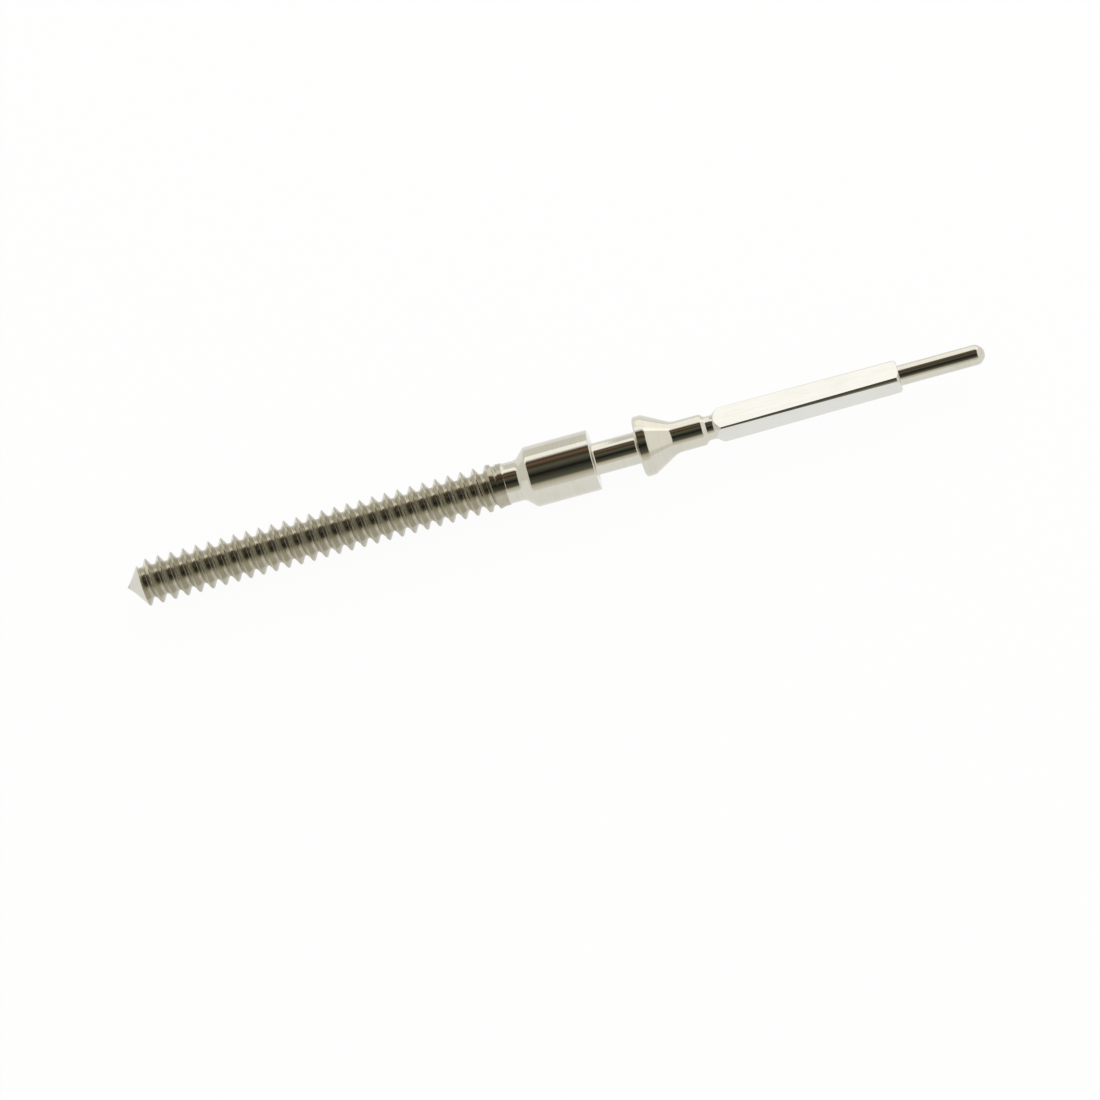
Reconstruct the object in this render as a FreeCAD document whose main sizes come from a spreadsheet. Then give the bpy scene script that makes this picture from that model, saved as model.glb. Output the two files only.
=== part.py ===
import FreeCAD, Part
import Sketcher
import os

# Winding stem of a wrist watch: one bar of steel, turned all along, threaded
# for the crown and milled square for the clutch. It lies along X, the crown's
# end at -X and the inner pivot at +X. The origin is on the axis, at the sharp
# inner edge of the plate bearing, where the setting lever's slot begins. Two
# flats face +Z and -Z.

# Driving sizes: lengths and diameters in millimetres, the angles in degrees
SIZES = {
    "point_angle": 107,
    "thread_root_diameter": 0.62,
    "thread_diameter": 0.90,
    "thread_length": 7.153,
    "thread_end_taper": 0.22,
    "thread_pitch": 0.25,
    "thread_flank_angle": 60,
    "thread_crest_width": 0.024,
    "run_out_length": 0.352,
    "run_out_turns": 1.25,
    "run_out_rise": 0.12,
    "shank_diameter": 0.79,
    "shank_length": 0.315,
    "bearing_diameter": 1.18,
    "bearing_length": 1.26,
    "lever_slot_diameter": 0.62,
    "lever_slot_width": 0.89,
    "lever_slot_corner": 0.06,
    "flange_rim_width": 0.18,
    "flange_cone_length": 0.52,
    "flange_cone_fillet": 0.30,
    "pinion_seat_diameter": 0.61,
    "pinion_seat_length": 0.562,
    "neck_diameter": 0.466,
    "neck_length": 0.148,
    "square_lead_in": 0.13,
    "square_length": 3.48,
    "square_blank_diameter": 0.67,
    "square_across_flats": 0.50,
    "square_end_chamfer": 0.045,
    "pivot_diameter": 0.395,
    "pivot_length": 1.68,
    "pivot_end_chamfer": 0.12,
    "pivot_end_radius": 0.12,
}

# The same sizes as the formulas need them
THREAD_ROOT = "Sizes.thread_root_diameter / 2"
THREAD_CREST = "Sizes.thread_diameter / 2"
SHANK = "Sizes.shank_diameter / 2"
BEARING = "Sizes.bearing_diameter / 2"
SLOT = "Sizes.lever_slot_diameter / 2"
SEAT = "Sizes.pinion_seat_diameter / 2"
NECK = "Sizes.neck_diameter / 2"
SQUARE_BLANK = "Sizes.square_blank_diameter / 2"
FLAT = "Sizes.square_across_flats / 2"
PIVOT = "Sizes.pivot_diameter / 2"
OUTSIDE = "Sizes.bearing_diameter"

# Places along the axis, from the origin towards the crown
BEARING_START = "-Sizes.bearing_length"
SHANK_END = f"{BEARING_START} - ({BEARING} - {SHANK})"
THREAD_END = f"{SHANK_END} - Sizes.shank_length"
TAPER_START = f"{THREAD_END} - Sizes.thread_end_taper"
THREAD_START = f"{THREAD_END} - Sizes.thread_length"
TIP = f"{THREAD_START} - {THREAD_CREST} / tan(Sizes.point_angle / 2)"

# Places along the axis, from the origin towards the pivot
SLOT_END = "Sizes.lever_slot_width"
RIM_END = f"{SLOT_END} + Sizes.flange_rim_width"
SEAT_START = f"{RIM_END} + Sizes.flange_cone_length"
SEAT_END = f"{SEAT_START} + Sizes.pinion_seat_length"
NECK_START = f"{SEAT_END} + {SEAT} - {NECK}"
NECK_MIDDLE = f"{NECK_START} + Sizes.neck_length / 2"
NECK_END = f"{NECK_START} + Sizes.neck_length"
SQUARE_START = f"{NECK_END} + Sizes.square_lead_in"
SQUARE_END = f"{SQUARE_START} + Sizes.square_length"
SHOULDER = f"{SQUARE_END} + Sizes.square_end_chamfer"
PIVOT_MIDDLE = f"{SHOULDER} + Sizes.pivot_length / 2"
PIVOT_END = f"{SHOULDER} + Sizes.pivot_length"
CHAMFER_START = f"{PIVOT_END} - Sizes.pivot_end_chamfer"
PIVOT_TIP = f"{PIVOT} - Sizes.pivot_end_chamfer"

# Half the turned bar's outline: each corner's place on the axis and its radius
BAR_OUTLINE = {
    "tip": (TIP, "0"),
    "thread_start": (THREAD_START, THREAD_CREST),
    "taper_start": (TAPER_START, THREAD_CREST),
    "shank_start": (THREAD_END, SHANK),
    "shank_end": (SHANK_END, SHANK),
    "bearing_start": (BEARING_START, BEARING),
    "rim_end": (RIM_END, BEARING),
    "seat_start": (SEAT_START, SEAT),
    "seat_end": (NECK_MIDDLE, SEAT),
    "square_start": (NECK_MIDDLE, SQUARE_BLANK),
    "square_end": (SQUARE_END, SQUARE_BLANK),
    "shoulder_edge": (SHOULDER, f"{SQUARE_BLANK} - Sizes.square_end_chamfer"),
    "pivot_start": (SHOULDER, PIVOT),
    "chamfer_start": (CHAMFER_START, PIVOT),
    "chamfer_end": (PIVOT_END, PIVOT_TIP),
    "pivot_end": (PIVOT_END, "0"),
}

# The setting lever's slot, cut straight in
SLOT_OUTLINE = {
    "bearing_side": ("0", OUTSIDE),
    "bearing_side_floor": ("0", SLOT),
    "flange_side_floor": (SLOT_END, SLOT),
    "flange_side": (SLOT_END, OUTSIDE),
}

# The neck between the pinion's seat and the square, with sloping sides
NECK_OUTLINE = {
    "above_seat": (SEAT_END, OUTSIDE),
    "seat_end": (SEAT_END, SEAT),
    "floor_start": (NECK_START, NECK),
    "floor_end": (NECK_END, NECK),
    "square_start": (SQUARE_START, SQUARE_BLANK),
    "above_square": (SQUARE_START, OUTSIDE),
}

# What the mill takes off one side of the square
FLAT_OUTLINE = {
    "start": (NECK_MIDDLE, FLAT),
    "end": (PIVOT_MIDDLE, FLAT),
    "outer_end": (PIVOT_MIDDLE, OUTSIDE),
    "outer_start": (NECK_MIDDLE, OUTSIDE),
}

# The thread's groove as it stands straight above the axis where the run-out
# begins: its middle, half its width at the root and just outside the crests
GROOVE_MIDDLE = f"{THREAD_END} - Sizes.run_out_length"
HALF_FLANK_ANGLE = "Sizes.thread_flank_angle / 2"
GROOVE_HALF_TOP = "Sizes.thread_pitch / 2 - Sizes.thread_crest_width / 4"
GROOVE_TOP = f"{THREAD_CREST} + Sizes.thread_crest_width / 4 / tan({HALF_FLANK_ANGLE})"
GROOVE_HALF_ROOT = f"{GROOVE_HALF_TOP} - ({GROOVE_TOP} - {THREAD_ROOT}) * tan({HALF_FLANK_ANGLE})"
GROOVE_OUTLINE = {
    "crown_side_top": (f"{GROOVE_MIDDLE} - ({GROOVE_HALF_TOP})", GROOVE_TOP),
    "crown_side_root": (f"{GROOVE_MIDDLE} - ({GROOVE_HALF_ROOT})", THREAD_ROOT),
    "bearing_side_root": (f"{GROOVE_MIDDLE} + {GROOVE_HALF_ROOT}", THREAD_ROOT),
    "bearing_side_top": (f"{GROOVE_MIDDLE} + {GROOVE_HALF_TOP}", GROOVE_TOP),
}


def make_sheet(doc):
    """The spreadsheet that every sketch and feature takes its sizes from."""
    sheet = doc.addObject("Spreadsheet::Sheet", "Sizes")
    for row, (alias, value) in enumerate(SIZES.items(), start=1):
        sheet.set(f"A{row}", alias.replace("_", " "))
        sheet.set(f"B{row}", str(value))
        sheet.setAlias(f"B{row}", alias)
    doc.recompute()


def measured(doc, expression):
    """What an expression over the sheet's cells comes to."""
    return float(doc.Sizes.evalExpression(expression))


def origin_feature(body, role):
    """One of the body's own planes or axes."""
    return next(item for item in body.Origin.OriginFeatures if item.Role == role)


def draw(body, name, outline):
    """A closed outline on the upright plane through the axis, each corner tied to the origin."""
    doc = body.Document
    sketch = body.newObject("Sketcher::SketchObject", name)
    sketch.AttachmentSupport = [(origin_feature(body, "XZ_Plane"), "")]
    sketch.MapMode = "FlatFace"
    places = [[measured(doc, part) for part in corner] for corner in outline.values()]
    ends = places[1:] + places[:1]
    for start, end in zip(places, ends):
        edge = Part.LineSegment(FreeCAD.Vector(*start), FreeCAD.Vector(*end))
        sketch.addGeometry(edge, False)
    for edge in range(len(places)):
        joined = Sketcher.Constraint("Coincident", edge - 1 if edge else len(places) - 1, 2, edge, 1)
        sketch.addConstraint(joined)
    for edge, (corner, (along, radius)) in enumerate(outline.items()):
        tie(sketch, f"{corner}_along", "DistanceX", edge, along)
        tie(sketch, f"{corner}_radius", "DistanceY", edge, radius)
    return sketch


def tie(sketch, name, kind, edge, expression):
    """The start of an edge at a distance from the origin that follows the sheet."""
    value = measured(sketch.Document, expression)
    distance = Sketcher.Constraint(kind, -1, 1, edge, 1, value)
    index = sketch.addConstraint(distance)
    sketch.renameConstraint(index, name)
    sketch.setExpression(f"Constraints.{name}", expression)


def turn(body, kind, name, outline):
    """A whole turn about the bar's axis: a Revolution adds, a Groove cuts."""
    sketch = draw(body, f"{name}Outline", outline)
    feature = body.newObject(f"PartDesign::{kind}", name)
    feature.Profile = sketch
    feature.ReferenceAxis = (sketch, ["H_Axis"])
    feature.Angle = 360
    body.Document.recompute()
    return feature


def rims(feature, along, radius):
    """Names of the circular edges of that radius about the axis, at that place."""
    doc = feature.Document
    place = FreeCAD.Vector(measured(doc, along), 0, 0)
    size = measured(doc, radius)
    names = []
    for number, edge in enumerate(feature.Shape.Edges, start=1):
        curve = edge.Curve
        if not isinstance(curve, Part.Circle):
            continue
        if curve.Center.isEqual(place, 1e-6) and abs(curve.Radius - size) < 1e-6:
            names.append(f"Edge{number}")
    return names


def round_off(body, name, base, edges, radius):
    """A fillet along the named edges."""
    fillet = body.newObject("PartDesign::Fillet", name)
    fillet.Base = (base, edges)
    fillet.setExpression("Radius", radius)
    body.Document.recompute()
    return fillet


def mill_square(body):
    """One flat milled along the square, then the other three about the axis."""
    sketch = draw(body, "FlatOutline", FLAT_OUTLINE)
    flat = body.newObject("PartDesign::Pocket", "SquareFlat")
    flat.Profile = sketch
    flat.Type = "Length"
    flat.SideType = "Symmetric"
    flat.setExpression("Length", f"2 * {OUTSIDE}")
    body.Document.recompute()
    flats = body.newObject("PartDesign::PolarPattern", "SquareFlats")
    flats.Originals = [flat]
    flats.Axis = (sketch, ["H_Axis"])
    flats.Angle = 360
    flats.Occurrences = 4
    body.Tip = flats
    body.Document.recompute()
    return flats


def cut_helix(body, name, sketch, mode, sizes):
    """The thread's groove, cut right-handed along a helix of the given sizes."""
    helix = body.newObject("PartDesign::SubtractiveHelix", name)
    helix.Profile = sketch
    helix.ReferenceAxis = (sketch, ["H_Axis"])
    helix.Mode = mode
    for size, expression in sizes.items():
        helix.setExpression(size, expression)
    return helix


def cut_thread(body):
    """The crown's thread, from the run-out past the point, then the run-out, where it rises."""
    sketch = draw(body, "GrooveOutline", GROOVE_OUTLINE)
    full_depth = {
        "Pitch": "Sizes.thread_pitch",
        "Height": f"{GROOVE_MIDDLE} - ({TIP}) + Sizes.thread_pitch",
    }
    thread = cut_helix(body, "Thread", sketch, "pitch-height-angle", full_depth)
    thread.Reversed = True
    body.Document.recompute()
    rising = {
        "Height": "Sizes.run_out_turns * Sizes.thread_pitch",
        "Turns": "Sizes.run_out_turns",
        "Growth": "Sizes.run_out_rise / Sizes.run_out_turns",
    }
    run_out = cut_helix(body, "RunOut", sketch, "height-turns-growth", rising)
    body.Tip = run_out
    body.Document.recompute()
    return run_out


def make_stem(doc):
    """The whole stem: turned bar, lever slot, neck, fillets, milled square and thread."""
    body = doc.addObject("PartDesign::Body", "Stem")
    body.Label = "winding_stem"
    turn(body, "Revolution", "TurnedBar", BAR_OUTLINE)
    turn(body, "Groove", "LeverSlot", SLOT_OUTLINE)
    neck = turn(body, "Groove", "Neck", NECK_OUTLINE)
    corners = rims(neck, "0", SLOT) + rims(neck, SLOT_END, SLOT)
    corner = round_off(body, "SlotCorners", neck, corners, "Sizes.lever_slot_corner")
    foot = rims(corner, SEAT_START, SEAT)
    foot = round_off(body, "ConeFoot", corner, foot, "Sizes.flange_cone_fillet")
    end = rims(foot, CHAMFER_START, PIVOT) + rims(foot, PIVOT_END, PIVOT_TIP)
    round_off(body, "PivotEnd", foot, end, "Sizes.pivot_end_radius")
    mill_square(body)
    cut_thread(body)
    return body


def check(doc, body):
    """Stop before writing if a feature failed, cut nothing or left a bad solid."""
    for item in doc.Objects:
        if {"Invalid", "Error"} & set(item.State):
            raise RuntimeError(f"{item.Name} failed: {item.State}")
    volume = None
    for feature in body.Group:
        if not feature.isDerivedFrom("PartDesign::Feature"):
            continue
        if volume is not None and abs(feature.Shape.Volume - volume) < 1e-6:
            raise RuntimeError(f"{feature.Name} changed nothing")
        volume = feature.Shape.Volume
        print(f"{feature.Name:12s} {volume:8.4f} mm3")
    shape = body.Shape
    if shape.isNull() or not shape.isValid() or len(shape.Solids) != 1:
        raise RuntimeError(f"{body.Label} isn't one valid solid")


def main():
    doc = FreeCAD.newDocument("winding_stem")
    make_sheet(doc)
    stem = make_stem(doc)
    check(doc, stem)
    os.makedirs("parts", exist_ok=True)
    stem.Shape.exportStep(f"parts/{stem.Label}.step")
    box = stem.Shape.optimalBoundingBox(False)
    print(f"{stem.Label}: {box.XLength:.3f} x {box.YLength:.3f} x {box.ZLength:.3f} mm")


main()
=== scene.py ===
# %% [markdown]
# # A watch's winding stem
# The stem is the small steel bar that the crown turns. It is one piece: turned
# on a lathe, threaded for the crown, milled square for the clutch and polished.
# The imported CAD model is loaded first, because it gives the place and the size
# of everything.

# %% Load the frame
import math

import bpy
from mathutils import Matrix, Vector


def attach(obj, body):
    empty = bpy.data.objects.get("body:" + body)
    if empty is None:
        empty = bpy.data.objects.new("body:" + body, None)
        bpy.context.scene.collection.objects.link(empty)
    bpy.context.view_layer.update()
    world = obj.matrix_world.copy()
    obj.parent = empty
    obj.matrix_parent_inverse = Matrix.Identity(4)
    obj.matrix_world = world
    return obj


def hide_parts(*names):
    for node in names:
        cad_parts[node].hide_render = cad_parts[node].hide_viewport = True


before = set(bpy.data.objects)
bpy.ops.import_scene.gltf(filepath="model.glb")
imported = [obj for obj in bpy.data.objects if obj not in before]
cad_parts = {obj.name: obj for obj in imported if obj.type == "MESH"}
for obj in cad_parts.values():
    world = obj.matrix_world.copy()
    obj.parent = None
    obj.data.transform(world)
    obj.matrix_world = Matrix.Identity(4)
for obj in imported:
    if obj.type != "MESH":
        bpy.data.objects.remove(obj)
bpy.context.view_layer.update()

MM = 0.001
print("CAD nodes:", sorted(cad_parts))

# %% [markdown]
# ## Camera
# The stem is seen from 56 degrees above and a little from its pivot's side, and
# it rises to the right because the camera is rolled. A long lens keeps both
# ends equally large. The camera could be aimed with a constraint, but a matrix
# made of its own right, up and back directions says the roll as plainly and
# moves nothing else.

# %% Aim the camera
IMAGE_SIDE = 1100
PIXELS_PER_MM = 52.55
ORIGIN_PIXEL = (594.2, 459.6)
CAMERA_ELEVATION = math.radians(56)
CAMERA_SIDE = math.radians(4.3)
CAMERA_ROLL = math.radians(15.34)
LENS = 500
SENSOR = 36
CLIP_NEAR = 0.1
CLIP_FAR = 10

along = Vector((1, 0, 0))
square_back = Vector((0, -math.cos(CAMERA_ELEVATION), math.sin(CAMERA_ELEVATION)))
level_up = Vector((0, math.sin(CAMERA_ELEVATION), math.cos(CAMERA_ELEVATION)))
back = square_back * math.cos(CAMERA_SIDE) + along * math.sin(CAMERA_SIDE)
level_right = along * math.cos(CAMERA_SIDE) - square_back * math.sin(CAMERA_SIDE)
right = level_right * math.cos(CAMERA_ROLL) - level_up * math.sin(CAMERA_ROLL)
up = level_right * math.sin(CAMERA_ROLL) + level_up * math.cos(CAMERA_ROLL)

pixel = MM / PIXELS_PER_MM
aim_right = (IMAGE_SIDE / 2 - ORIGIN_PIXEL[0]) * pixel
aim_up = (ORIGIN_PIXEL[1] - IMAGE_SIDE / 2) * pixel
aim = right * aim_right + up * aim_up
distance = IMAGE_SIDE * pixel * LENS / SENSOR

camera_data = bpy.data.cameras.new("camera")
camera_data.lens = LENS
camera_data.sensor_width = SENSOR
camera_data.clip_start = distance * CLIP_NEAR
camera_data.clip_end = CLIP_FAR
camera = bpy.data.objects.new("camera", camera_data)
bpy.context.scene.collection.objects.link(camera)
turned = Matrix((right, up, back)).transposed().to_4x4()
camera.matrix_world = Matrix.Translation(aim + back * distance) @ turned
bpy.context.scene.camera = camera
bpy.context.scene.view_settings.view_transform = "Standard"
print(f"camera {distance / MM:.1f} mm away, {LENS} mm lens")

# %% [markdown]
# ## Turning the bar
# A lathe makes every round surface of the stem from one outline. Blender's
# lathe is the Spin tool: half of the outline is drawn point by point, its
# corners are rounded while they are still single points, and one whole turn
# about the axis makes the bar. The work is done at one unit to the millimetre,
# because the tools' own tolerances suit that size, and it is scaled at the end.

# %% Small helpers for work in edit mode
# Points nearer to each other than this become one, in mm
MERGE = 0.0003


def start_point(name, place):
    """A new mesh in edit mode that is one point, ready to be extruded."""
    bpy.ops.object.select_all(action="DESELECT")
    bpy.ops.mesh.primitive_plane_add(size=1, location=(0, 0, 0))
    piece = bpy.context.object
    piece.name = name
    bpy.ops.object.mode_set(mode="EDIT")
    bpy.ops.mesh.select_mode(type="VERT")
    bpy.ops.mesh.merge(type="CENTER")
    bpy.ops.transform.translate(value=place)
    return piece


def extrude_through(places, start):
    """Extrude the chosen point from place to place."""
    here = Vector(start)
    for place in places:
        step = Vector(place) - here
        bpy.ops.mesh.extrude_vertices_move(TRANSFORM_OT_translate={"value": step})
        here = Vector(place)


def choose(piece, wanted, kind="vertices"):
    """Select the vertices or faces for which wanted says yes, in edit mode."""
    bpy.ops.mesh.select_mode(type="VERT" if kind == "vertices" else "FACE")
    bpy.ops.mesh.select_all(action="DESELECT")
    bpy.ops.object.mode_set(mode="OBJECT")
    for item in getattr(piece.data, kind):
        item.select = bool(wanted(item))
    bpy.ops.object.mode_set(mode="EDIT")


def tidy_mesh(piece, distance=MERGE):
    """Merge doubles, turn all faces outwards and leave edit mode."""
    bpy.ops.mesh.select_all(action="SELECT")
    bpy.ops.mesh.remove_doubles(threshold=distance)
    bpy.ops.mesh.normals_make_consistent(inside=False)
    bpy.ops.object.mode_set(mode="OBJECT")


def cut(piece, cutter):
    """Take the cutter's volume out of the piece, as a tool would."""
    modifier = piece.modifiers.new("cut", "BOOLEAN")
    modifier.operation = "DIFFERENCE"
    modifier.solver = "MANIFOLD"
    modifier.object = cutter
    bpy.context.view_layer.objects.active = piece
    bpy.ops.object.modifier_apply(modifier=modifier.name)
    bpy.data.objects.remove(cutter)
    print(f"{piece.name} has {len(piece.data.polygons)} faces after the cut")


# %% Draw the outline and spin it
# Each corner: place along the axis, radius, how far its rounding or chamfer
# reaches, and in how many steps
OUTLINE = [
    (-9.256, 0.000, 0, 0),
    (-9.130, 0.150, 0.020, 2),
    (-8.923, 0.450, 0.020, 2),
    (-1.990, 0.450, 0.060, 3),
    (-1.860, 0.412, 0.040, 2),
    (-1.750, 0.410, 0.015, 2),
    (-1.720, 0.395, 0.015, 2),
    (-1.455, 0.395, 0.055, 4),
    (-1.260, 0.590, 0.035, 4),
    (0.000, 0.590, 0.012, 1),
    (0.000, 0.310, 0.060, 4),
    (0.890, 0.310, 0.060, 4),
    (0.890, 0.590, 0.030, 1),
    (1.070, 0.590, 0.030, 3),
    (1.590, 0.305, 0.077, 6),
    (2.152, 0.305, 0.015, 1),
    (2.224, 0.233, 0.030, 3),
    (2.372, 0.233, 0.030, 3),
    (2.502, 0.337, 0.010, 1),
    (5.982, 0.314, 0.006, 1),
    (6.027, 0.269, 0.006, 1),
    (6.027, 0.1975, 0.015, 2),
    (7.587, 0.1975, 0.0497, 5),
    (7.707, 0.0775, 0.0497, 5),
    (7.707, 0.000, 0, 0),
]
TURN_STEPS = 96
AT_CORNER = 1e-4

outline = [(x, 0, radius) for x, radius, _, _ in OUTLINE]
stem = start_point("polished_stem", outline[0])
extrude_through(outline[1:], outline[0])
for x, radius, reach, steps in OUTLINE:
    if reach:
        corner = Vector((x, 0, radius))
        choose(stem, lambda point: (point.co - corner).length < AT_CORNER)
        bpy.ops.mesh.bevel(offset=reach, segments=steps, affect="VERTICES")
bpy.ops.mesh.select_all(action="SELECT")
bpy.ops.mesh.spin(steps=TURN_STEPS, angle=math.tau, center=(0, 0, 0), axis=(1, 0, 0))
tidy_mesh(stem)
print(f"turned bar: {len(stem.data.polygons)} faces")

# %% [markdown]
# ## Cutting the crown's thread
# The thread is a right-hand one of 0.25 mm pitch. It could be painted on as
# bump, but its crests show in the outline, so it is real geometry. The die's
# tooth is drawn once, as a V with a rounded root. The Screw modifier carries it
# round and along. At the inner end the tooth is lifted out bit by bit, which
# leaves the run-out that a real thread has. Then the bar is cut with it.

# %% Draw the tooth and screw it along the bar
PITCH = 0.25
CREST_TURN = -34
CREST_PLACE = -2.036
WHOLE_TURNS = 29
RUN_OUT_TURNS = 1.25
RUN_OUT_LIFT = 0.12

# Half of the tooth from its root outwards: half width and radius
TOOTH = [
    (0.0120, 0.3100),
    (0.0300, 0.3160),
    (0.0450, 0.3320),
    (0.1016, 0.4300),
    (0.1100, 0.4420),
    (0.1235, 0.4555),
    (0.1235, 0.5600),
]
# The groove's middle straight above the axis, where the run-out starts
turns_to_top = (90 + CREST_TURN) / 360
run_out_start = CREST_PLACE + PITCH * (turns_to_top - 0.5)
left_side = [(run_out_start - width, 0, radius) for width, radius in reversed(TOOTH)]
right_side = [(run_out_start + width, 0, radius) for width, radius in TOOTH]
tooth_outline = left_side + right_side


def draw_tooth(name):
    """The tooth's closed outline, in edit mode, all selected."""
    tooth = start_point(name, tooth_outline[0])
    extrude_through(tooth_outline[1:], tooth_outline[0])
    bpy.ops.mesh.select_all(action="SELECT")
    bpy.ops.mesh.edge_face_add()
    return tooth


tooth = draw_tooth("thread_tool")
bpy.ops.mesh.delete(type="ONLY_FACE")
bpy.ops.object.mode_set(mode="OBJECT")
screw = tooth.modifiers.new("screw", "SCREW")
screw.axis = "X"
screw.angle = -math.tau
screw.screw_offset = -PITCH
screw.iterations = WHOLE_TURNS
screw.steps = TURN_STEPS
screw.render_steps = TURN_STEPS
bpy.ops.object.modifier_apply(modifier=screw.name)
print(f"tooth path: {len(tooth.data.vertices)} points")

# %% Lift the tooth out in the run-out, close both ends and cut
FINE_MERGE = 0.00005
run_out = draw_tooth("run_out")
steps = round(TURN_STEPS * RUN_OUT_TURNS)
turn = math.tau / TURN_STEPS
for number in range(1, steps + 1):
    angle = math.pi / 2 + turn * number
    lift = RUN_OUT_LIFT / steps
    bpy.ops.mesh.extrude_region_move(
        TRANSFORM_OT_translate={"value": (PITCH / TURN_STEPS, 0, 0)}
    )
    bpy.ops.transform.rotate(
        value=-turn, orient_axis="X", orient_type="GLOBAL", center_override=(0, 0, 0)
    )
    bpy.ops.transform.translate(
        value=(0, lift * math.cos(angle), lift * math.sin(angle))
    )
bpy.ops.object.mode_set(mode="OBJECT")
bpy.ops.object.select_all(action="DESELECT")
run_out.select_set(True)
tooth.select_set(True)
bpy.context.view_layer.objects.active = tooth
bpy.ops.object.join()
bpy.ops.object.mode_set(mode="EDIT")
bpy.ops.mesh.select_all(action="SELECT")
bpy.ops.mesh.remove_doubles(threshold=FINE_MERGE)
bpy.ops.mesh.select_all(action="DESELECT")
bpy.ops.mesh.select_mode(type="FACE")
bpy.ops.mesh.select_interior_faces()
bpy.ops.mesh.delete(type="FACE")
bpy.ops.mesh.select_mode(type="EDGE")
bpy.ops.mesh.select_non_manifold()
bpy.ops.mesh.edge_face_add()
tidy_mesh(tooth, FINE_MERGE)
low = min(point.co.x for point in tooth.data.vertices)
high = max(point.co.x for point in tooth.data.vertices)
print(f"thread tool from {low:.3f} to {high:.3f} mm")
cut(stem, tooth)

# %% [markdown]
# ## Milling the square
# The sliding clutch runs on four flats, 0.50 mm apart. The mill leaves a thin
# stripe of the turned blank at each corner. One block with a square hole
# through it takes off all four sides at once, so the flats are sure to be
# square to each other.

# %% Make the block with its square hole and cut
FLATS = 0.50
BLOCK_START = 2.30
BLOCK_END = 6.30
BLOCK_SIDE = 1.0
END_FACE = 0.9

bpy.ops.object.select_all(action="DESELECT")
middle = ((BLOCK_START + BLOCK_END) / 2, 0, 0)
bpy.ops.mesh.primitive_cube_add(size=1, location=(0, 0, 0))
block = bpy.context.object
block.name = "square_tool"
bpy.ops.object.mode_set(mode="EDIT")
bpy.ops.transform.resize(value=(BLOCK_END - BLOCK_START, BLOCK_SIDE, BLOCK_SIDE))
bpy.ops.transform.translate(value=middle)
choose(block, lambda face: abs(face.normal.x) > END_FACE, "polygons")
bpy.ops.mesh.inset(thickness=(BLOCK_SIDE - FLATS) / 2, use_individual=True)
bpy.ops.mesh.bridge_edge_loops()
tidy_mesh(block)
cut(stem, block)

# %% [markdown]
# ## One clean skin
# The cuts leave points a hair apart. Those are merged, the faces are turned
# outwards, and the piece is brought from millimetres to metres. Shading is
# smooth over the round surfaces and stays crisp at the machined edges.

# %% Clean, scale and shade
SMOOTH_ANGLE = math.radians(28)

bpy.ops.object.select_all(action="DESELECT")
stem.select_set(True)
bpy.context.view_layer.objects.active = stem
bpy.ops.object.mode_set(mode="EDIT")
tidy_mesh(stem)
bpy.ops.object.mode_set(mode="EDIT")
bpy.ops.mesh.select_mode(type="EDGE")
bpy.ops.mesh.select_all(action="DESELECT")
bpy.ops.mesh.select_non_manifold()
bpy.ops.object.mode_set(mode="OBJECT")
open_edges = sum(edge.select for edge in stem.data.edges)
stem.scale = (MM, MM, MM)
bpy.ops.object.transform_apply(location=True, rotation=True, scale=True)
bpy.ops.object.shade_smooth_by_angle(angle=SMOOTH_ANGLE)
stem.data.calc_loop_triangles()
print(f"open or doubled edges: {open_edges}")
print(f"triangles: {len(stem.data.loop_triangles)}")

# %% [markdown]
# ## Steel
# The whole stem is one steel, but three tools left their own finish on it: fine
# rings from the lathe, duller grooves from the thread die, and straight lines
# from the mill. The thread's flanks that face the point get a lighter copy of
# the thread steel, which is a painted highlight, and the other flanks keep the
# darker thread steel as painted shade. What the finishes share is made once, as
# node groups: the tool's lines and a soft mottle from handling.

# %% Helpers for node trees
def node(tree, kind, **values):
    """A new node whose own properties are set by name."""
    made = tree.nodes.new(kind)
    for name, value in values.items():
        setattr(made, name, value)
    return made


def fill(made, tree, **inputs):
    """Set or link a node's inputs: by name with _ for a space, or i0, i1... by place."""
    for name, value in inputs.items():
        by_place = name[0] == "i" and name[1:].isdigit()
        socket = made.inputs[int(name[1:]) if by_place else name.replace("_", " ")]
        if isinstance(value, bpy.types.NodeSocket):
            tree.links.new(value, socket)
        else:
            socket.default_value = value
    return made


def new_group(name, inputs, outputs):
    """A shader node group with named inputs and outputs."""
    group = bpy.data.node_groups.new(name, "ShaderNodeTree")
    for label, kind, value in inputs:
        socket = group.interface.new_socket(label, in_out="INPUT", socket_type=kind)
        if value is not None:
            socket.default_value = value
    for label, kind in outputs:
        group.interface.new_socket(label, in_out="OUTPUT", socket_type=kind)
    entry = group.nodes.new("NodeGroupInput")
    leave = group.nodes.new("NodeGroupOutput")
    return group, entry.outputs, leave.inputs


FLOAT = "NodeSocketFloat"
VECTOR = "NodeSocketVector"

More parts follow.
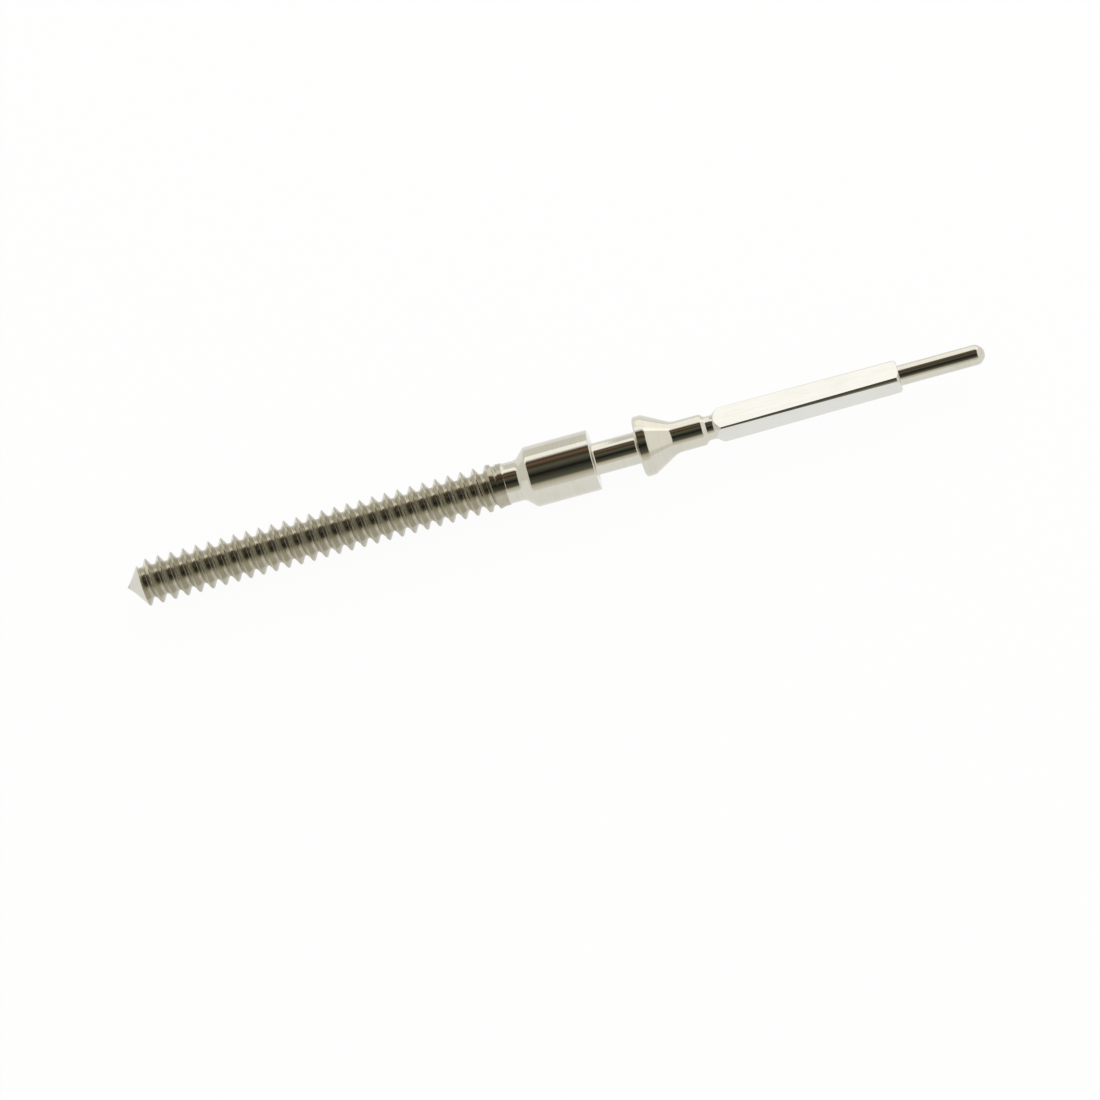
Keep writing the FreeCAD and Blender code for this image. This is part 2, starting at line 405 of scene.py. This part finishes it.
# %% Tool lines: streaks that are fine one way and long the other
tool_lines, given, result = new_group(
    "tool lines",
    [("Place", VECTOR, None), ("Across", VECTOR, (1, 1, 1)), ("Seed", FLOAT, 0.0)],
    [("Height", FLOAT), ("Mask", FLOAT)],
)
stretched = node(tool_lines, "ShaderNodeVectorMath", operation="MULTIPLY")
fill(stretched, tool_lines, i0=given["Place"], i1=given["Across"])
fine = node(tool_lines, "ShaderNodeTexNoise", noise_dimensions="4D")
fill(fine, tool_lines, Vector=stretched.outputs[0], W=given["Seed"])
fill(fine, tool_lines, Scale=1.0, Detail=4.0, Roughness=0.65)
coarse = node(tool_lines, "ShaderNodeTexNoise", noise_dimensions="4D")
fill(coarse, tool_lines, Vector=stretched.outputs[0], W=given["Seed"])
fill(coarse, tool_lines, Scale=0.17, Detail=2.0, Roughness=0.5)
mixed = node(tool_lines, "ShaderNodeMix", data_type="FLOAT")
fill(mixed, tool_lines, i0=0.35, i2=fine.outputs[0], i3=coarse.outputs[0])
spread = node(tool_lines, "ShaderNodeMapRange")
fill(spread, tool_lines, Value=mixed.outputs[0], From_Min=0.35, From_Max=0.65)
tool_lines.links.new(mixed.outputs[0], result["Height"])
tool_lines.links.new(spread.outputs[0], result["Mask"])
print("group:", tool_lines.name)

# %% Mottle: the soft unevenness of handled metal
mottle, given, result = new_group(
    "mottle",
    [("Place", VECTOR, None), ("Size", FLOAT, 1.0), ("Seed", FLOAT, 0.0)],
    [("Mask", FLOAT)],
)
cloud = node(mottle, "ShaderNodeTexNoise", noise_dimensions="4D")
fill(cloud, mottle, Vector=given["Place"], W=given["Seed"], Scale=given["Size"])
fill(cloud, mottle, Detail=5.0, Roughness=0.6)
spread = node(mottle, "ShaderNodeMapRange")
fill(spread, mottle, Value=cloud.outputs[0], From_Min=0.3, From_Max=0.7)
mottle.links.new(spread.outputs[0], result["Mask"])
print("group:", mottle.name)


# %% One steel, four finishes
MOTTLE_SIZE = 1.6
MOTTLE_SEED = 3.0
RELIEF_DEPTH = 0.01 * MM


def steel(name, light, dark, smooth, rough, across, bump, seed):
    """A steel whose colour and gloss vary along the tool's lines."""
    material = bpy.data.materials.new(name)
    material.use_nodes = True
    tree = material.node_tree
    surface = tree.nodes["Principled BSDF"]
    surface.inputs["Metallic"].default_value = 1.0
    place = node(tree, "ShaderNodeTexCoord")
    in_mm = node(tree, "ShaderNodeMapping")
    fill(in_mm, tree, Vector=place.outputs["Object"], Scale=(1 / MM, 1 / MM, 1 / MM))
    lines = node(tree, "ShaderNodeGroup", node_tree=tool_lines)
    fill(lines, tree, Place=in_mm.outputs[0], Across=across, Seed=seed)
    worn = node(tree, "ShaderNodeGroup", node_tree=mottle)
    fill(worn, tree, Place=in_mm.outputs[0], Size=MOTTLE_SIZE, Seed=seed + MOTTLE_SEED)
    both = node(tree, "ShaderNodeMath", operation="MULTIPLY")
    fill(both, tree, i0=lines.outputs["Mask"], i1=worn.outputs["Mask"])
    tint = node(tree, "ShaderNodeMix", data_type="RGBA")
    fill(tint, tree, i0=both.outputs[0], i6=(*light, 1), i7=(*dark, 1))
    tree.links.new(tint.outputs[2], surface.inputs["Base Color"])
    gloss = node(tree, "ShaderNodeMapRange")
    fill(gloss, tree, Value=lines.outputs["Mask"], To_Min=smooth, To_Max=rough)
    tree.links.new(gloss.outputs[0], surface.inputs["Roughness"])
    relief = node(tree, "ShaderNodeBump")
    fill(relief, tree, Height=lines.outputs["Height"], Strength=bump, Distance=RELIEF_DEPTH)
    tree.links.new(relief.outputs[0], surface.inputs["Normal"])
    return material


# Each finish: its light and dark colour, its smooth and rough gloss, how fine its
# lines are along X, Y and Z, the bump's strength and the pattern's seed
turned_steel = steel(
    "turned steel", (0.67, 0.65, 0.575), (0.57, 0.55, 0.475), 0.05, 0.11, (90, 3, 3), 0.10, 1.0
)
thread_steel = steel(
    "thread steel", (0.46, 0.435, 0.355), (0.34, 0.315, 0.245), 0.13, 0.22, (14, 9, 9), 0.20, 5.0
)
milled_steel = steel(
    "milled steel", (0.755, 0.752, 0.715), (0.69, 0.68, 0.63), 0.06, 0.13, (2, 80, 80), 0.06, 9.0
)
# A lighter copy of the thread steel for the flanks that face the point: its colour is a painted
# highlight
lit_flank_steel = steel(
    "lit flank steel", (0.76, 0.735, 0.63), (0.56, 0.535, 0.44), 0.25, 0.35, (14, 9, 9), 0.20, 13.0
)
STEELS = [turned_steel, thread_steel, milled_steel, lit_flank_steel]
print("steels:", [material.name for material in STEELS])

# %% Give each surface its finish
stem.data.materials.clear()
for material in STEELS:
    stem.data.materials.append(material)
POINT_TO = -8.93 * MM
THREAD_TO = -1.755 * MM
SQUARE_FROM = 2.38 * MM
SQUARE_TO = 6.0 * MM
LIT_FLANK_LEAN = -0.55
LEVEL = 0.9999
NEAR = 1e-6


def finish_of(face):
    """The steel of one face, by where it is and which way it looks."""
    if POINT_TO < face.center.x < THREAD_TO:
        # Flanks that face the point get the lighter steel as a painted highlight; the other
        # flanks keep the darker thread steel as painted shade
        return lit_flank_steel if face.normal.x < LIT_FLANK_LEAN else thread_steel
    flat = max(abs(face.normal.y), abs(face.normal.z)) > LEVEL
    on_flat = abs(max(abs(face.center.y), abs(face.center.z)) - FLATS / 2 * MM) < NEAR
    if SQUARE_FROM < face.center.x < SQUARE_TO and flat and on_flat:
        return milled_steel
    return turned_steel


for face in stem.data.polygons:
    face.material_index = STEELS.index(finish_of(face))
for number, material in enumerate(STEELS):
    print(material.name, sum(face.material_index == number for face in stem.data.polygons))

# %% [markdown]
# ## The studio
# Polished steel shows what stands around it. The stem lies on a white sweep in
# even, soft light, with bright panels behind it and beyond its pivot, and a dark
# card over it, where the camera stands. The card gives every round surface its
# dark stripe. It has six plain tones that run into each other: cream and straw in
# front, felt, black where the lens is, and bark and brown behind. Their order and
# weight follow the real stem's dark stripe, and the rear edge fades to white. Such
# a card is only there to be mirrored, so it is hidden from the camera and from the
# light on the floor.

# %% The floor
FLOOR_HEIGHT = -0.59 * MM
FLOOR_SIDE = 2
FLOOR_GLOW = 0.94
PAPER_WHITE = (0.97, 0.97, 0.965, 1)
bpy.ops.object.select_all(action="DESELECT")
bpy.ops.mesh.primitive_plane_add(size=FLOOR_SIDE, location=(0, 0, FLOOR_HEIGHT))
floor = bpy.context.object
floor.name = "floor"
paper = bpy.data.materials.new("white sweep")
paper.use_nodes = True
tree = paper.node_tree
tree.nodes.clear()
matt = fill(node(tree, "ShaderNodeBsdfDiffuse"), tree, Color=PAPER_WHITE)
glow = fill(node(tree, "ShaderNodeEmission"), tree, Color=(1, 1, 1, 1), Strength=1.0)
ray = node(tree, "ShaderNodeLightPath")
seen = node(tree, "ShaderNodeMath", operation="MAXIMUM")
fill(seen, tree, i0=ray.outputs["Is Camera Ray"], i1=ray.outputs["Is Glossy Ray"])
seen_too = node(tree, "ShaderNodeMath", operation="MAXIMUM")
fill(seen_too, tree, i0=seen.outputs[0], i1=ray.outputs["Is Transmission Ray"])
share = node(tree, "ShaderNodeMath", operation="MULTIPLY")
fill(share, tree, i0=seen_too.outputs[0], i1=FLOOR_GLOW)
blend = node(tree, "ShaderNodeMixShader")
fill(blend, tree, i0=share.outputs[0], i1=matt.outputs[0], i2=glow.outputs[0])
out = node(tree, "ShaderNodeOutputMaterial")
tree.links.new(blend.outputs[0], out.inputs["Surface"])
floor.data.materials.append(paper)
print(f"floor at {FLOOR_HEIGHT / MM:.2f} mm")

# %% The even light all round
world = bpy.data.worlds.new("studio")
world.use_nodes = True
bpy.context.scene.world = world
tree = world.node_tree
tree.nodes.clear()
ROOM_COLOUR = (0.92, 0.90, 0.84, 1)
ROOM_STRENGTH = 0.9
room = node(tree, "ShaderNodeBackground")
fill(room, tree, Color=ROOM_COLOUR, Strength=ROOM_STRENGTH)
white = fill(node(tree, "ShaderNodeBackground"), tree, Color=(1, 1, 1, 1), Strength=1.0)
ray = node(tree, "ShaderNodeLightPath")
blend = node(tree, "ShaderNodeMixShader")
fill(blend, tree, i0=ray.outputs["Is Camera Ray"], i1=room.outputs[0], i2=white.outputs[0])
out = node(tree, "ShaderNodeOutputWorld")
tree.links.new(blend.outputs[0], out.inputs["Surface"])
print("room light:", ROOM_STRENGTH)

# %% The three lights
# The strip stands beyond the dark card's rear edge and lights the square's upper
# flat. The side panel lights what slopes towards the pivot, such as the cone. The
# rear panel is small and near, so that only the seat and the pivot mirror it.
STRIP = {"distance": 0.078, "length": 0.16, "width": 0.0233, "radiance": 0.5}
SIDE_PANEL = {"distance": 0.12, "length": 0.20, "width": 0.12, "radiance": 0.2}
REAR_PANEL = {"distance": 0.03, "length": 0.04, "width": 0.0189, "radiance": 0.5}
STRIP_ANGLE = math.radians(130.7)
SIDE_RISE = math.radians(30)
REAR_ANGLE = math.radians(157.5)
REAR_SHIFT = 0.019


def panel(name, away, long_side, distance, length, width, radiance, shift=0.0):
    """An evenly bright area light that looks at the stem."""
    light = bpy.data.lights.new(name, "AREA")
    light.shape = "RECTANGLE"
    light.size = length
    light.size_y = width
    light.energy = radiance * math.pi * length * width
    lamp = bpy.data.objects.new(name.replace(" ", "_"), light)
    bpy.context.scene.collection.objects.link(lamp)
    faced = Matrix((long_side, away.cross(long_side), away)).transposed().to_4x4()
    lamp.matrix_world = Matrix.Translation(away * distance + along * shift) @ faced
    lamp.visible_camera = False
    print(f"{name}: {light.energy:.4f} W")


strip_way = Vector((0, -math.cos(STRIP_ANGLE), math.sin(STRIP_ANGLE)))
panel("bright strip", strip_way, along, **STRIP)
side_way = Vector((math.cos(SIDE_RISE), 0, math.sin(SIDE_RISE)))
panel("side panel", side_way, Vector((0, 1, 0)), **SIDE_PANEL)
rear_way = Vector((0, -math.cos(REAR_ANGLE), math.sin(REAR_ANGLE)))
panel("rear panel", rear_way, along, shift=REAR_SHIFT, **REAR_PANEL)

# %% The dark card over the stem
CARD_RADIUS = 0.07
CARD_HALF_LENGTH = 0.057
CARD_FROM = 4
CARD_TO = 122
CARD_STEPS = 48
CREAM = (0.85, 0.82, 0.74)
STRAW = (0.55, 0.52, 0.42)
FELT = (0.12, 0.12, 0.09)
BLACK = (0.01, 0.01, 0.01)
BARK = (0.05, 0.04, 0.02)
BROWN = (0.20, 0.12, 0.08)
# Where each plain tone stands, in degrees from the front horizon
CARD_TONES = [
    (4, CREAM), (22, STRAW), (30, FELT), (60, BLACK),
    (80, FELT), (92, BARK), (102, BROWN), (113, BARK),
]
start = (-CARD_HALF_LENGTH, -CARD_RADIUS, 0)
card = start_point("dark_card", start)
extrude_through([(CARD_HALF_LENGTH, -CARD_RADIUS, 0)], start)
bpy.ops.mesh.select_all(action="SELECT")
bpy.ops.transform.rotate(
    value=math.radians(CARD_FROM),
    orient_axis="X",
    orient_type="GLOBAL",
    center_override=(0, 0, 0),
)
bpy.ops.mesh.spin(
    steps=CARD_STEPS,
    angle=math.radians(CARD_TO - CARD_FROM),
    center=(0, 0, 0),
    axis=(1, 0, 0),
)
bpy.ops.object.mode_set(mode="OBJECT")
print("dark card:", len(card.data.polygons), "strips")

# %% Shade the card by its angle
dark = bpy.data.materials.new("dark card")
dark.use_nodes = True
tree = dark.node_tree
tree.nodes.clear()
place = node(tree, "ShaderNodeTexCoord")
parts = fill(node(tree, "ShaderNodeSeparateXYZ"), tree, Vector=place.outputs["Object"])
forward = node(tree, "ShaderNodeMath", operation="MULTIPLY")
fill(forward, tree, i0=parts.outputs["Y"], i1=-1.0)
card_angle = node(tree, "ShaderNodeMath", operation="ARCTAN2")
fill(card_angle, tree, i0=parts.outputs["Z"], i1=forward.outputs[0])
card_ends = {"From_Min": math.radians(CARD_FROM), "From_Max": math.radians(CARD_TO)}
along_card = node(tree, "ShaderNodeMapRange")
fill(along_card, tree, Value=card_angle.outputs[0], **card_ends)
tones = node(tree, "ShaderNodeValToRGB")
fill(tones, tree, Fac=along_card.outputs[0])
stops = tones.color_ramp.elements
for number, (angle, colour) in enumerate(CARD_TONES):
    position = (angle - CARD_FROM) / (CARD_TO - CARD_FROM)
    stop = stops.new(position) if number else stops[0]
    stop.position = position
    stop.color = (*colour, 1)
# The ramp's own last stop stays white, so the card's rear edge fades to white
glow = fill(node(tree, "ShaderNodeEmission"), tree, Color=tones.outputs[0], Strength=1.0)
out = node(tree, "ShaderNodeOutputMaterial")
tree.links.new(glow.outputs[0], out.inputs["Surface"])
card.data.materials.append(dark)
print("card tones:", len(stops))
card.visible_camera = False
card.visible_diffuse = False
card.visible_shadow = False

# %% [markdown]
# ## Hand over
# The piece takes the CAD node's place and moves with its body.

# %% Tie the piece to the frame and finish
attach(stem, "root")
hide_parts("winding_stem")
